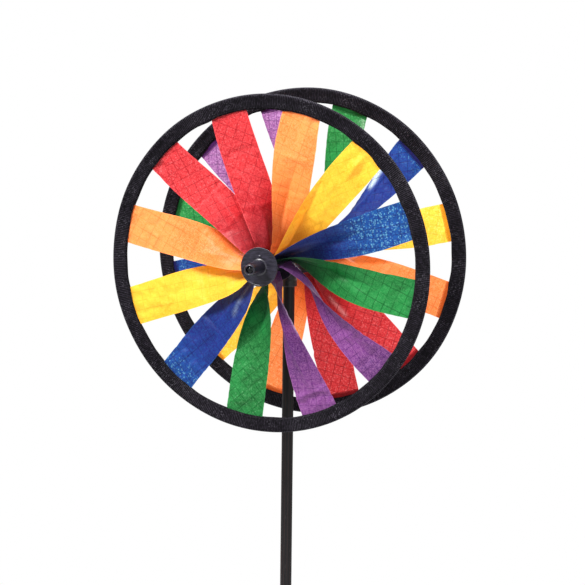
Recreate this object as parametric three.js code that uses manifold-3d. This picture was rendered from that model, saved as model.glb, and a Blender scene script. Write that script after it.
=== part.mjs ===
// Twin-wheel wind spinner on a garden pole.
//
// Two cloth pinwheels stand back to back on one axle, in front of and behind the pole. Each wheel is a wire hoop
// in a folded tape binding, with twelve ripstop blades that turn through a quarter twist from the binding to the
// hub. The rear wheel is the mirror image of the front one, so the wind spins the two in opposite directions.
//
// Units are millimetres. +Z is up, -Y is the front wheel's side, and the origin is at the tip of the ground stake,
// on the pole's axis. The pieces are laid out from ground level, which is STAKE_LENGTH above that.

import * as THREE from "three";
import { mergeVertices } from "three/addons/utils/BufferGeometryUtils.js";
import Module from "manifold-3d";

const wasm = await Module();
wasm.setup();

// ---- Driving dimensions ----

const WHEEL_RADIUS = 152.5;
const WHEEL_SPACING = 104;
const AXLE_HEIGHT = 610; // above the ground

const BINDING_WIDTH = 13.5;
const TAPE_THICKNESS = 0.4;
const WIRE_RADIUS = 0.9;
const WIRE_GAP = 6; // degrees of hoop that the sleeve covers

const BLADE_COUNT = 12;
const BLADE_WIDTH_OUTER = 35;
const BLADE_WIDTH_INNER = 40;
const BLADE_THICKNESS = 0.4;
const BLADE_TUCK = 7; // how far a blade runs into the fold of the binding
const TWIST_OUTER_RADIUS = 118; // outside this a blade lies in the plane of its hoop

const FLANGE_RADIUS = 17.5;
const FLANGE_THICKNESS = 1.5;
const BARREL_RADIUS = 7;
const NOSE_ROOT_RADIUS = 6.2;
const NOSE_TIP_RADIUS = 5.2;
const NOSE_LENGTH = 23;

const AXLE_RADIUS = 2.5;
const POLE_RADIUS = 5.25;
const POLE_WALL = 1.5;
const SOCKET_DEPTH = 26; // from the axle's centre line down to the mouth of the tee
const STAKE_LENGTH = 150;

const RUNNING_GAP = 0.25; // between pieces that turn on one another, and between pieces pressed together
const END_GAP = 0.3; // between faces that meet end to end

const HOOP_STEPS = 60;
const ROUND_STEPS = 24;

// ---- Colours ----

const CLOTH = {
  red: 0xd8202c,
  orange: 0xf6923a,
  yellow: 0xf4d92f,
  green: 0x2e9a4a,
  blue: 0x2c4aa5,
  purple: 0x7a3b94,
};
const cloth = (name) =>
  new THREE.MeshStandardMaterial({ color: CLOTH[name], roughness: 0.6, metalness: 0, side: THREE.DoubleSide });
const BLACK_TAPE = new THREE.MeshStandardMaterial({ color: 0x17151a, roughness: 0.85, metalness: 0 });
const BLACK_PLASTIC = new THREE.MeshStandardMaterial({ color: 0x26242a, roughness: 0.55, metalness: 0 });
const BLACK_POLE = new THREE.MeshStandardMaterial({ color: 0x1d1818, roughness: 0.45, metalness: 0 });
const STEEL = new THREE.MeshStandardMaterial({ color: 0x9a9ca0, roughness: 0.35, metalness: 1 });
const NYLON = new THREE.MeshStandardMaterial({ color: 0xe8e6df, roughness: 0.5, metalness: 0 });

// ---- Small helpers ----

const radians = THREE.MathUtils.degToRad;

function named(name, geometry, material) {
  const mesh = new THREE.Mesh(geometry, material);
  mesh.name = name;
  return mesh;
}

// A solid of revolution about Y. The outline is a list of [radius, height] that runs anticlockwise and closes.
function turned(outline, steps = ROUND_STEPS) {
  const closed = outline.concat([outline[0]]);
  return new THREE.LatheGeometry(
    closed.map(([radius, height]) => new THREE.Vector2(radius, height)),
    steps,
  );
}

// The same about Z, for the pieces of the pole.
function turnedUpright(outline, steps = ROUND_STEPS) {
  return turned(outline, steps).rotateX(Math.PI / 2);
}

// A tube between two heights.
function tubeOutline(inner, outer, low, high) {
  return [
    [inner, low],
    [outer, low],
    [outer, high],
    [inner, high],
  ];
}

// Points on an arc of the outline plane, both ends included.
function arc(centreRadius, centreHeight, radius, from, to, steps) {
  return Array.from({ length: steps + 1 }, (_, i) => {
    const angle = radians(from + ((to - from) * i) / steps);
    return [centreRadius + radius * Math.cos(angle), centreHeight + radius * Math.sin(angle)];
  });
}

function solid(geometry) {
  const bare = geometry.clone();
  bare.deleteAttribute("normal");
  bare.deleteAttribute("uv");
  const merged = mergeVertices(bare, 1e-3);
  return new wasm.Manifold(
    new wasm.Mesh({
      numProp: 3,
      vertProperties: merged.attributes.position.array,
      triVerts: new Uint32Array(merged.index.array),
    }),
  );
}

function geometryOf(manifold) {
  const mesh = manifold.getMesh();
  return new THREE.BufferGeometry()
    .setAttribute("position", new THREE.BufferAttribute(mesh.vertProperties, 3))
    .setIndex(new THREE.BufferAttribute(mesh.triVerts, 1));
}

// ---- Wheel: hoop and binding ----

const POCKET_RADIUS = 2;
const WIRE_CIRCLE = WHEEL_RADIUS - TAPE_THICKNESS - POCKET_RADIUS;

// The path of the hoop's wire, in the wheel's XZ plane.
class HoopArc extends THREE.Curve {
  constructor(start, end) {
    super();
    this.start = start;
    this.end = end;
  }
  getPoint(t, target = new THREE.Vector3()) {
    const angle = radians(this.start + (this.end - this.start) * t);
    return target.set(WIRE_CIRCLE * Math.cos(angle), 0, WIRE_CIRCLE * Math.sin(angle));
  }
}

function roundShape(radius, sides, hole = 0) {
  const shape = new THREE.Shape().absarc(0, 0, radius, 0, 2 * Math.PI);
  if (hole) shape.holes.push(new THREE.Path().absarc(0, 0, hole, 0, 2 * Math.PI, true));
  return { shape, curveSegments: sides };
}

function alongHoop({ shape, curveSegments }, start, end, steps) {
  return new THREE.ExtrudeGeometry(shape, {
    curveSegments,
    steps,
    extrudePath: new HoopArc(start, end),
  });
}

// Spring wire, bent round until its ends almost meet.
function hoopWire(seam) {
  const gap = 0.4;
  return alongHoop(roundShape(WIRE_RADIUS, 4), seam + gap / 2, seam + 360 - gap / 2, HOOP_STEPS);
}

// Crimped tube that joins the two ends of the wire.
function hoopSleeve(seam) {
  const inner = WIRE_RADIUS + END_GAP;
  return alongHoop(roundShape(inner + 0.25, 5, inner), seam - WIRE_GAP / 2, seam + WIRE_GAP / 2, 4);
}

// Tape folded over the wire, with its two legs closed on the ends of the blades.
function binding() {
  const innerEdge = WHEEL_RADIUS - BINDING_WIDTH;
  const legGap = BLADE_THICKNESS / 2 + END_GAP;
  const neck = WIRE_CIRCLE - POCKET_RADIUS - 1;
  const foldRadius = POCKET_RADIUS + TAPE_THICKNESS;
  const outline = [
    [innerEdge, -legGap - TAPE_THICKNESS],
    [neck, -legGap - TAPE_THICKNESS],
    ...arc(WIRE_CIRCLE, 0, foldRadius, -110, 110, 5),
    [neck, legGap + TAPE_THICKNESS],
    [innerEdge, legGap + TAPE_THICKNESS],
    [innerEdge, legGap],
    [neck, legGap],
    ...arc(WIRE_CIRCLE, 0, POCKET_RADIUS, 120, -120, 5),
    [neck, -legGap],
    [innerEdge, -legGap],
  ];
  return turned(outline, HOOP_STEPS);
}

// ---- Wheel: blades ----

// Quarter twist that starts slowly at the binding and is complete at the barrel of the hub.
function twistAt(radius) {
  const inner = BARREL_RADIUS + END_GAP;
  const share = THREE.MathUtils.clamp((TWIST_OUTER_RADIUS - radius) / (TWIST_OUTER_RADIUS - inner), 0, 1);
  return (Math.PI / 2) * share ** 1.6;
}

// The strip is a little wider at the hub than at the binding.
function widthAt(radius) {
  return THREE.MathUtils.mapLinear(radius, 0, WHEEL_RADIUS, BLADE_WIDTH_INNER, BLADE_WIDTH_OUTER);
}

// One blade of a wheel. side is -1 on the front wheel and +1 on the rear one, and mirrors the twist.
function blade(angle, side) {
  const inner = BARREL_RADIUS + END_GAP;
  const outer = WHEEL_RADIUS - BINDING_WIDTH + BLADE_TUCK;
  const geometry = new THREE.BoxGeometry(outer - inner, 1, BLADE_THICKNESS, 11, 2, 1);
  const position = geometry.attributes.position;
  for (let i = 0; i < position.count; i++) {
    const radius = position.getX(i) + (outer + inner) / 2;
    const across = position.getY(i) * widthAt(radius);
    const through = position.getZ(i);
    const twist = twistAt(radius);
    const around = across * Math.cos(twist) + through * Math.sin(twist);
    const axial = across * Math.sin(twist) - through * Math.cos(twist);
    const turn = radians(angle) + around / radius;
    position.setXYZ(i, radius * Math.cos(turn), side * axial, radius * Math.sin(turn));
  }
  return side < 0 ? flipped(geometry) : geometry;
}

// Turns each face round, for a shape that has been mirrored.
function flipped(geometry) {
  const index = geometry.index.array;
  for (let i = 0; i < index.length; i += 3) {
    [index[i + 1], index[i + 2]] = [index[i + 2], index[i + 1]];
  }
  return geometry;
}

// ---- Wheel: hub, with its outer end towards +Y ----

const BARREL_HALF = BLADE_WIDTH_INNER / 2 + 0.5;
const AXLE_BORE = AXLE_RADIUS + RUNNING_GAP;
const SPIGOT_RADIUS = 4.6;
const CAP_RADIUS = 3.2;
const CAP_LENGTH = 5;
const NOSE_TIP = BARREL_HALF + FLANGE_THICKNESS + NOSE_LENGTH;
const CAP_SEAT = NOSE_TIP - 6.5;
const SPIGOT_END = BARREL_HALF - 12;

// Inner flange and the barrel that carries the blades' inner ends.
function hubSpool() {
  return turned([
    [AXLE_BORE, -BARREL_HALF - FLANGE_THICKNESS],
    [FLANGE_RADIUS, -BARREL_HALF - FLANGE_THICKNESS],
    [FLANGE_RADIUS, -BARREL_HALF],
    [BARREL_RADIUS, -BARREL_HALF],
    [BARREL_RADIUS, BARREL_HALF - END_GAP],
    [SPIGOT_RADIUS + RUNNING_GAP, BARREL_HALF - END_GAP],
    [SPIGOT_RADIUS + RUNNING_GAP, SPIGOT_END - END_GAP],
    [AXLE_BORE, SPIGOT_END - END_GAP],
  ]);
}

// Outer flange with the nose that stands out of it, and the spigot that plugs into the barrel.
function hubNose() {
  return turned([
    [AXLE_BORE, SPIGOT_END],
    [SPIGOT_RADIUS, SPIGOT_END],
    [SPIGOT_RADIUS, BARREL_HALF],
    [FLANGE_RADIUS, BARREL_HALF],
    [FLANGE_RADIUS, BARREL_HALF + FLANGE_THICKNESS],
    [NOSE_ROOT_RADIUS, BARREL_HALF + FLANGE_THICKNESS],
    [NOSE_TIP_RADIUS, NOSE_TIP - 1.4],
    [NOSE_TIP_RADIUS - 0.4, NOSE_TIP - 0.4],
    [NOSE_TIP_RADIUS - 1, NOSE_TIP],
    [CAP_RADIUS + RUNNING_GAP, NOSE_TIP],
    [CAP_RADIUS + RUNNING_GAP, CAP_SEAT],
    [AXLE_BORE, CAP_SEAT],
  ]);
}

// Push-on cap that keeps the wheel on the axle. It sits in the mouth of the nose.
function axleCap() {
  const foot = CAP_SEAT + END_GAP;
  return turned([
    [0, foot + 3],
    [AXLE_BORE, foot + 3],
    [AXLE_BORE, foot],
    [CAP_RADIUS, foot],
    [CAP_RADIUS, foot + CAP_LENGTH - 0.8],
    [CAP_RADIUS - 0.8, foot + CAP_LENGTH],
    [0, foot + CAP_LENGTH],
  ]);
}

const SPACER_THICKNESS = 1.2;
const HUB_INNER_END = -BARREL_HALF - FLANGE_THICKNESS;

// Nylon washer between the hub and the end of the tee.
function spacerWasher() {
  const face = HUB_INNER_END - END_GAP;
  return turned(tubeOutline(AXLE_BORE, 6, face - SPACER_THICKNESS, face), 24);
}

// ---- Head: tee fitting, axle ----

const TEE_HALF = WHEEL_SPACING / 2 + HUB_INNER_END - SPACER_THICKNESS - 2 * END_GAP;
const TEE_RADIUS = 7.5;
const SOCKET_RADIUS = 6.8;
const COLLAR_RADIUS = 7.3;
const COLLAR_HEIGHT = 6;
const SOCKET_ROOF = 5.2; // below the axle's centre line

// Horizontal barrel for the axle, with a socket below it for the pole.
function teeFitting() {
  const barrel = solid(turned([
    [0, -TEE_HALF],
    [TEE_RADIUS - 0.6, -TEE_HALF],
    [TEE_RADIUS, -TEE_HALF + 0.6],
    [TEE_RADIUS, TEE_HALF - 0.6],
    [TEE_RADIUS - 0.6, TEE_HALF],
    [0, TEE_HALF],
  ]));
  const socket = solid(turnedUpright([
    [0, -SOCKET_DEPTH],
    [COLLAR_RADIUS, -SOCKET_DEPTH],
    [COLLAR_RADIUS, -SOCKET_DEPTH + COLLAR_HEIGHT],
    [SOCKET_RADIUS, -SOCKET_DEPTH + COLLAR_HEIGHT + 1],
    [SOCKET_RADIUS, 0],
    [0, 0],
  ]));
  const axleBore = solid(turned([
    [0, -TEE_HALF - 1],
    [AXLE_BORE, -TEE_HALF - 1],
    [AXLE_BORE, TEE_HALF + 1],
    [0, TEE_HALF + 1],
  ]));
  const poleBore = solid(turnedUpright([
    [0, -SOCKET_DEPTH - 1],
    [POLE_RADIUS + RUNNING_GAP, -SOCKET_DEPTH - 1],
    [POLE_RADIUS + RUNNING_GAP, -SOCKET_ROOF],
    [0, -SOCKET_ROOF],
  ]));
  return geometryOf(barrel.add(socket).subtract(axleBore).subtract(poleBore));
}

// Steel rod through the tee and both hubs, into the two end caps.
function axleRod() {
  const end = WHEEL_SPACING / 2 + CAP_SEAT + END_GAP + 3 - END_GAP;
  return turned(
    [
      [0, -end],
      [AXLE_RADIUS - 0.4, -end],
      [AXLE_RADIUS, -end + 0.4],
      [AXLE_RADIUS, end - 0.4],
      [AXLE_RADIUS - 0.4, end],
      [0, end],
    ],
    24,
  );
}

// ---- Stand: pole and ground stake ----

const PLUG_DOME = 1.6;
const POLE_TOP = AXLE_HEIGHT - SOCKET_ROOF - PLUG_DOME - 2 * END_GAP;
const POLE_FOOT = 6;
const POLE_JOINT = 280;
const FERRULE_LENGTH = 40;
const STAKE_SOCKET_TOP = 38;

function poleTube(low, high) {
  return turnedUpright(tubeOutline(POLE_RADIUS - POLE_WALL, POLE_RADIUS, low, high));
}

// Domed plug in the top of the pole, on which the tee turns.
function polePlug() {
  const stem = POLE_RADIUS - POLE_WALL - RUNNING_GAP;
  const face = POLE_TOP + END_GAP;
  return turnedUpright([
    [0, face - 8],
    [stem, face - 8],
    [stem, face],
    [POLE_RADIUS - 0.3, face],
    [POLE_RADIUS - 0.3, face + 0.5],
    [1.5, face + PLUG_DOME],
    [0, face + PLUG_DOME],
  ]);
}

// Sleeve that joins the two lengths of the pole.
function poleFerrule() {
  const inner = POLE_RADIUS + RUNNING_GAP;
  const low = POLE_JOINT - FERRULE_LENGTH / 2;
  return turnedUpright([
    [inner, low],
    [inner + 0.8, low],
    [inner + 1.2, low + 0.8],
    [inner + 1.2, low + FERRULE_LENGTH - 0.8],
    [inner + 0.8, low + FERRULE_LENGTH],
    [inner, low + FERRULE_LENGTH],
  ]);
}

// One of the two crossed plates of the stake's spike.
function spikePlate() {
  const topHalf = 9.5;
  const thickness = 3;
  const shape = new THREE.Shape();
  shape.moveTo(-topHalf, 1);
  shape.lineTo(-topHalf, -STAKE_LENGTH * 0.7);
  shape.lineTo(-1, -STAKE_LENGTH);
  shape.lineTo(1, -STAKE_LENGTH);
  shape.lineTo(topHalf, -STAKE_LENGTH * 0.7);
  shape.lineTo(topHalf, 1);
  shape.closePath();
  return new THREE.ExtrudeGeometry(shape, { depth: thickness, bevelEnabled: false })
    .translate(0, 0, -thickness / 2)
    .rotateX(Math.PI / 2);
}

// Socket for the pole, flange that stops at the ground, and the cross-shaped spike.
function groundStake() {
  const body = solid(turnedUpright([
    [0, 0],
    [17, 0],
    [17, 3],
    [9, 5],
    [7.8, 8],
    [7.5, STAKE_SOCKET_TOP - 1],
    [6.8, STAKE_SOCKET_TOP],
    [0, STAKE_SOCKET_TOP],
  ]));
  const bore = solid(turnedUpright([
    [0, POLE_FOOT - END_GAP],
    [POLE_RADIUS + RUNNING_GAP, POLE_FOOT - END_GAP],
    [POLE_RADIUS + RUNNING_GAP, STAKE_SOCKET_TOP + 1],
    [0, STAKE_SOCKET_TOP + 1],
  ]));
  const plate = solid(spikePlate());
  const crossPlate = solid(spikePlate().rotateZ(Math.PI / 2));
  return geometryOf(body.add(plate).add(crossPlate).subtract(bore));
}

// ---- Assembly ----

// Blade colours in order round the wheel from its first blade, anticlockwise as seen from the front.
const FRONT_WHEEL = {
  name: "front",
  side: -1,
  firstBlade: 18.9,
  seam: -46,
  colours: "blue yellow orange red red orange yellow blue green purple purple green".split(" "),
};
const REAR_WHEEL = {
  name: "rear",
  side: 1,
  firstBlade: 14.2,
  seam: 160,
  colours: "yellow blue green purple purple green blue yellow orange red red orange".split(" "),
};

function wheel({ name, side, firstBlade, seam, colours }) {
  const group = new THREE.Group();
  group.position.set(0, (side * WHEEL_SPACING) / 2, AXLE_HEIGHT);
  group.add(named(`${name}_hoop_wire`, hoopWire(seam), STEEL));
  group.add(named(`${name}_hoop_sleeve`, hoopSleeve(seam), STEEL));
  group.add(named(`${name}_hoop_binding`, binding(), BLACK_TAPE));
  for (let i = 0; i < BLADE_COUNT; i++) {
    const label = `${name}_blade_${String(i + 1).padStart(2, "0")}_${colours[i]}`;
    const angle = firstBlade + (360 / BLADE_COUNT) * i;
    group.add(named(label, blade(angle, side), cloth(colours[i])));
  }
  const hub = new THREE.Group();
  hub.rotation.z = side < 0 ? Math.PI : 0;
  hub.add(named(`${name}_hub_spool`, hubSpool(), BLACK_PLASTIC));
  hub.add(named(`${name}_hub_nose`, hubNose(), BLACK_PLASTIC));
  hub.add(named(`${name}_axle_cap`, axleCap(), BLACK_PLASTIC));
  hub.add(named(`${name}_spacer_washer`, spacerWasher(), NYLON));
  group.add(hub);
  return group;
}

function head() {
  const group = new THREE.Group();
  group.position.z = AXLE_HEIGHT;
  group.add(named("tee_fitting", teeFitting(), BLACK_PLASTIC));
  group.add(named("axle_rod", axleRod(), STEEL));
  return group;
}

function stand() {
  const group = new THREE.Group();
  group.add(named("pole_plug", polePlug(), NYLON));
  group.add(named("upper_pole", poleTube(POLE_JOINT + END_GAP, POLE_TOP), BLACK_POLE));
  group.add(named("pole_ferrule", poleFerrule(), BLACK_PLASTIC));
  group.add(named("lower_pole", poleTube(POLE_FOOT, POLE_JOINT - END_GAP), BLACK_POLE));
  group.add(named("ground_stake", groundStake(), BLACK_PLASTIC));
  return group;
}

const spinner = new THREE.Group();
spinner.position.z = STAKE_LENGTH;
spinner.add(wheel(FRONT_WHEEL));
spinner.add(wheel(REAR_WHEEL));
spinner.add(head());
spinner.add(stand());

export default spinner;
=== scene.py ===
# Looks for the twin-wheel wind spinner: cloth blades, tape bindings, moulded hubs, pole and stake, built
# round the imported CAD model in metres. The front wheel is on the -Y side of the pole.

import math
import random
from types import SimpleNamespace

import bmesh
import bpy
import numpy as np
from mathutils import Matrix, Vector


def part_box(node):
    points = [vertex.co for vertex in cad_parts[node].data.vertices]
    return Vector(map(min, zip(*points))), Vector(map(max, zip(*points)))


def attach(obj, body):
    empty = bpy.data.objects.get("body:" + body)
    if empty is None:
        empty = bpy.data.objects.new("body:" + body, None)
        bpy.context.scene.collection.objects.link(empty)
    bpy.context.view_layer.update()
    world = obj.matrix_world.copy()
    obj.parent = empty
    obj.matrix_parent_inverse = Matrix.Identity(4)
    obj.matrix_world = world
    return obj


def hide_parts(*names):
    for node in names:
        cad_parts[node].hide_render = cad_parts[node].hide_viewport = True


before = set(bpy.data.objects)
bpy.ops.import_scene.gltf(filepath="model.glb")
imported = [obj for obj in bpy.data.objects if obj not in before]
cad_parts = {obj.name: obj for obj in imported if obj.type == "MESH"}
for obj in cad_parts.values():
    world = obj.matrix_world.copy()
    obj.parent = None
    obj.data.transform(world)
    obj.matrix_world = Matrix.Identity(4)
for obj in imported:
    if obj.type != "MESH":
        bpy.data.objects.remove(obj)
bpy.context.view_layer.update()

MM = 0.001

# Sizes shared with the CAD model
BINDING_WIDTH = 13.5 * MM
BLADE_TUCK = 7 * MM
HUB_HALF = 20.5 * MM
FLANGE_RADIUS = 17.5 * MM
FLANGE_THICKNESS = 1.5 * MM
NOSE_LENGTH = 23 * MM
AXLE_BORE = 2.75 * MM
SOCKET_ROOF = 5.2 * MM  # below the axle
SPIKE_LENGTH = 150 * MM

# Blades' places round each wheel, in degrees
FIRST_BLADE = {"front": 18.9, "rear": 14.2}
BLADE_PITCH = 30


# ---- places read from the frame

def middle(node):
    low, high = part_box(node)
    return (low + high) / 2


WHEELS = ("front", "rear")
OUTWARD = {"front": -1, "rear": 1}
AXLE_Z = middle("axle_rod").z
WHEEL_Y = {wheel: middle(f"{wheel}_hoop_binding").y for wheel in WHEELS}
WHEEL_RADIUS = (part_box("front_hoop_binding")[1].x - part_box("front_hoop_binding")[0].x) / 2
POLE_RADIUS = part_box("upper_pole")[1].x
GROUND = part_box("ground_stake")[0].z + SPIKE_LENGTH


# ---- node materials

class Shader:
    """Builds a node material line by line. Every method returns an output socket."""

    def __init__(self, name):
        self.material = bpy.data.materials.new(name)
        self.material.use_nodes = True
        self.tree = self.material.node_tree
        self.tree.nodes.clear()

    def node(self, kind, settings=None, **inputs):
        node = self.tree.nodes.new(kind)
        for key, value in (settings or {}).items():
            setattr(node, key, value)
        for key, value in inputs.items():
            self.plug(node, key.replace("_", " "), value)
        return node

    def plug(self, node, key, value):
        socket = node.inputs[int(key)] if key.isdigit() else node.inputs[key]
        if isinstance(value, bpy.types.NodeSocket):
            self.tree.links.new(value, socket)
        else:
            socket.default_value = value

    def math(self, operation, a, b=0.0, clamp=False):
        node = self.tree.nodes.new("ShaderNodeMath")
        node.operation = operation
        node.use_clamp = clamp
        self.plug(node, "0", a)
        self.plug(node, "1", b)
        return node.outputs[0]

    def times(self, a, b, clamp=False):
        return self.math("MULTIPLY", a, b, clamp)

    def plus(self, a, b):
        return self.math("ADD", a, b)

    def minus(self, a, b):
        return self.math("SUBTRACT", a, b)

    def scaled(self, vector, scale):
        node = self.node("ShaderNodeVectorMath", {"operation": "MULTIPLY"})
        self.plug(node, "0", vector)
        self.plug(node, "1", scale)
        return node.outputs[0]

    def cells(self, vector, length, width):
        """One random value for each small rectangle."""
        node = self.node("ShaderNodeVectorMath", {"operation": "SNAP"})
        self.plug(node, "0", vector)
        self.plug(node, "1", (length, width, 1))
        noise = self.node("ShaderNodeTexWhiteNoise", {"noise_dimensions": "2D"}, Vector=node.outputs[0])
        return noise.outputs[0]

    def ramp(self, value, low, high, to_low=0.0, to_high=1.0):
        """Eases from to_low to to_high as the value goes from low to high."""
        node = self.node("ShaderNodeMapRange", {"interpolation_type": "SMOOTHSTEP"})
        keys = ("Value", "From Min", "From Max", "To Min", "To Max")
        for key, item in zip(keys, (value, low, high, to_low, to_high)):
            self.plug(node, key, item)
        return node.outputs[0]

    def noise(self, vector, scale, detail=2.0, roughness=0.5):
        node = self.node("ShaderNodeTexNoise", Vector=vector, Scale=scale, Detail=detail, Roughness=roughness)
        return node.outputs["Fac"]

    def mix(self, factor, a, b, blend="MIX"):
        node = self.node("ShaderNodeMix", {"data_type": "RGBA", "blend_type": blend})
        for index, value in ((0, factor), (6, a), (7, b)):
            self.plug(node, str(index), value)
        return node.outputs[2]

    def uv(self, layer):
        return self.node("ShaderNodeUVMap", {"uv_map": layer}).outputs[0]

    def position(self):
        return self.node("ShaderNodeTexCoord").outputs["Object"]

    def split(self, vector):
        return self.node("ShaderNodeSeparateXYZ", Vector=vector).outputs

    def bump(self, height, strength, distance, normal=None):
        node = self.node("ShaderNodeBump", Height=height, Strength=strength, Distance=distance)
        if normal is not None:
            self.plug(node, "Normal", normal)
        return node.outputs[0]

    def principled(self, **inputs):
        return self.node("ShaderNodeBsdfPrincipled", **inputs).outputs[0]

    def finish(self, shader):
        out = self.node("ShaderNodeOutputMaterial")
        self.tree.links.new(shader, out.inputs[0])
        return self.material


def rgb(red, green, blue):
    """A colour given as it looks on screen, 0 to 255."""
    def linear(value):
        value /= 255
        return value / 12.92 if value <= 0.04045 else ((value + 0.055) / 1.055) ** 2.4
    return (linear(red), linear(green), linear(blue), 1)


BLACK = (0, 0, 0, 1)
WHITE = (1, 1, 1, 1)
LIT = 1.7  # how bright a face turned to the key light is, beside a plain white wall


def lit(red, green, blue):
    """The base colour of a surface that looks like this, 0 to 255, when it is fully lit."""
    return tuple(value / LIT for value in rgb(red, green, blue)[:3]) + (1,)


GRID_PITCH = 8.6 * MM
GRID_THREAD = 0.34 * MM


def ripstop(name, base, deep, sheen, spark, glint, lines):
    """Thin nylon. base and deep are its two tones, sheen is the colour of the painted highlight where the
    weave catches the light, spark that of its painted glints. glint and lines are how strongly the painted
    glints and the grid of thicker threads show."""
    s = Shader(name)
    cloth = s.uv("cloth")
    x, y, _ = s.split(cloth)

    # The grid: thicker threads both ways, a little uneven and worn in patches
    def thread(coordinate):
        away = s.math("PINGPONG", coordinate, GRID_PITCH / 2)
        return s.ramp(away, GRID_THREAD * 0.4, GRID_THREAD * 1.5, 1.0, 0.0)

    wobble = s.times(s.minus(s.noise(cloth, 45), 0.5), 0.5 * MM)
    grid = s.math("MAXIMUM", thread(s.plus(x, wobble)), thread(s.plus(y, wobble)))
    grid = s.times(grid, s.ramp(s.noise(cloth, 95, 3), 0.3, 0.6, 0.35, 1.0))

    # The fine weave, about 0 on average
    warp = s.noise(s.scaled(cloth, (1900, 330, 1)), 1.0, 2)
    weft = s.noise(s.scaled(cloth, (330, 1900, 1)), 1.0, 2)
    weave = s.minus(s.plus(warp, weft), 1.0)

    # Two tones, then the weave with painted sheen on its threads, and stronger painted sheen where the blade
    # shines
    clouds = s.noise(s.position(), 28, 2)
    colour = s.mix(s.ramp(clouds, 0.35, 0.68), base, deep)
    colour = s.mix(s.ramp(weave, -0.18, 0.22, 0.0, 0.42), colour, sheen)
    shine, gleam, _ = s.split(s.uv("shine"))
    bright = s.times(shine, s.ramp(weave, -0.2, 0.2, 0.15, 0.8))
    colour = s.mix(bright, colour, sheen)

    # Painted glints as long and short dashes, and the painted highlight along a fold or an edge
    dashes = s.math("MAXIMUM", s.cells(cloth, 1.4 * MM, 0.75 * MM), s.cells(cloth, 0.75 * MM, 1.4 * MM))
    patches = s.ramp(s.plus(shine, s.minus(s.noise(cloth, 40, 3), 0.5)), 0.15, 0.75)
    painted_glint = s.times(s.ramp(s.plus(dashes, s.times(shine, 0.12)), 0.98, 1.12), patches)
    colour = s.mix(s.times(painted_glint, glint), colour, spark)
    streaks = s.times(gleam, s.ramp(dashes, 0.3, 1.0, 0.6, 1.0), clamp=True)
    colour = s.mix(streaks, colour, s.mix(0.45, spark, WHITE))
    colour = s.mix(s.times(grid, lines), colour, s.mix(0.3, deep, BLACK))

    # Painted shade on the root
    shade = s.times(shine, -1.0, clamp=True)
    colour = s.mix(shade, colour, s.mix(0.7, deep, (0.05, 0.046, 0.056, 1)))

    # Pale cut edges, lightened with painted highlight, and the stitched hem, whose place across is 2 more
    # than the blade's
    along, across, _ = s.split(s.uv("span"))
    hem = s.ramp(across, 1.4, 1.6)
    cut_edge_sheen = s.ramp(s.math("ABSOLUTE", s.minus(across, 0.5)), 0.476, 0.49)
    cut_edge_sheen = s.times(cut_edge_sheen, s.minus(1.0, hem))
    colour = s.mix(s.times(cut_edge_sheen, 0.4), colour, sheen)
    stitches = s.ramp(s.math("SINE", s.times(across, 150.0)), -0.2, 0.3)
    seam = s.ramp(s.math("ABSOLUTE", s.minus(along, 0.922)), 0.002, 0.004, 1.0, 0.0)
    # Painted shade: the hem darker, as the doubled cloth lets less light through
    colour = s.mix(s.times(hem, 0.85), colour, s.mix(0.35, deep, BLACK))
    colour = s.mix(s.times(s.times(s.times(seam, stitches), hem), 0.6), colour, sheen)

    height = s.plus(s.times(weave, 0.5), s.times(grid, 0.9))
    normal = s.bump(height, 0.35, 0.25 * MM)
    normal = s.bump(s.noise(cloth, 130, 3), 0.25, 1.2 * MM, normal)
    front = s.principled(Base_Color=colour, Roughness=0.45, Normal=normal, Specular_IOR_Level=0.2)
    steeped = s.mix(0.55, colour, colour, "MULTIPLY")
    through = s.node("ShaderNodeBsdfTranslucent", Color=steeped, Normal=normal).outputs[0]
    mixed = s.node("ShaderNodeMixShader")
    for key, value in (("0", 0.4), ("1", front), ("2", through)):
        s.plug(mixed, key, value)
    return s.finish(mixed.outputs[0])


RIB_PITCH = 1.65 * MM


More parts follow.
